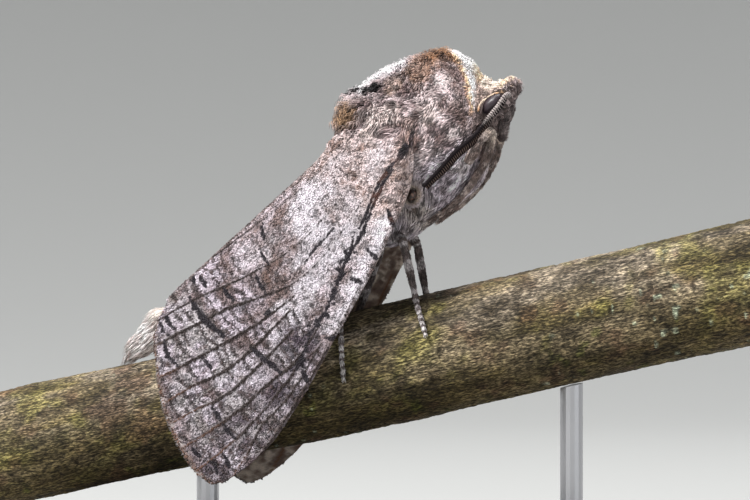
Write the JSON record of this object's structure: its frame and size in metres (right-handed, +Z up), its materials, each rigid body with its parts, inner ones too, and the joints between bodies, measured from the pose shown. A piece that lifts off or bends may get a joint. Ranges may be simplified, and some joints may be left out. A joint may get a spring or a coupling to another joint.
{
  "type": "goat moth on a perch",
  "caption": "Large carpenter moth at rest with wings folded like a roof, on a cut length of branch held by a plain display stand.",
  "frame": {"origin": "middle of the display base's underside, on the surface that it stands on", "axes": "+Z up, +X along the branch towards its high end and the moth's head, -Y towards the moth's right side, which the picture shows"},
  "size_m": [0.103, 0.046, 0.0684],
  "materials": {
    "wing": "matt, covered in whitish grey and brown scales with dark veins",
    "hindwing": "matt, covered in smoky grey scales",
    "fur": "matt tan and grey hair-scales",
    "collar": "matt white hair-scales",
    "face": "matt grey-brown hair-scales",
    "tail": "matt pale cream hair-scales",
    "eye": "glossy dark purple-brown, finely faceted",
    "feeler": "matt dark brown with pale grey scales above",
    "leg": "matt, banded dark grey-brown and white with scales",
    "bark": "fibrous grey-brown bark with green and yellow algae",
    "base": "satin black acrylic",
    "rod": "brushed steel"
  },
  "bodies": {
    "root": {"head": "face", "collar": "collar", "thorax": "fur", "abdomen": "tail", "eye_right": "eye", "eye_left": "eye", "antenna_right": "feeler", "antenna_left": "feeler", "palp_right": "face", "palp_left": "face", "forewing_right": "wing", "forewing_left": "wing", "hindwing_right": "hindwing", "hindwing_left": "hindwing", "leg_fore_right": "leg", "leg_fore_left": "leg", "leg_mid_right": "leg", "leg_mid_left": "leg", "leg_hind_right": "leg", "leg_hind_left": "leg", "branch": "bark", "stand_base": "base", "stand_rod_a": "rod", "stand_rod_b": "rod"}
  },
  "joints": []
}
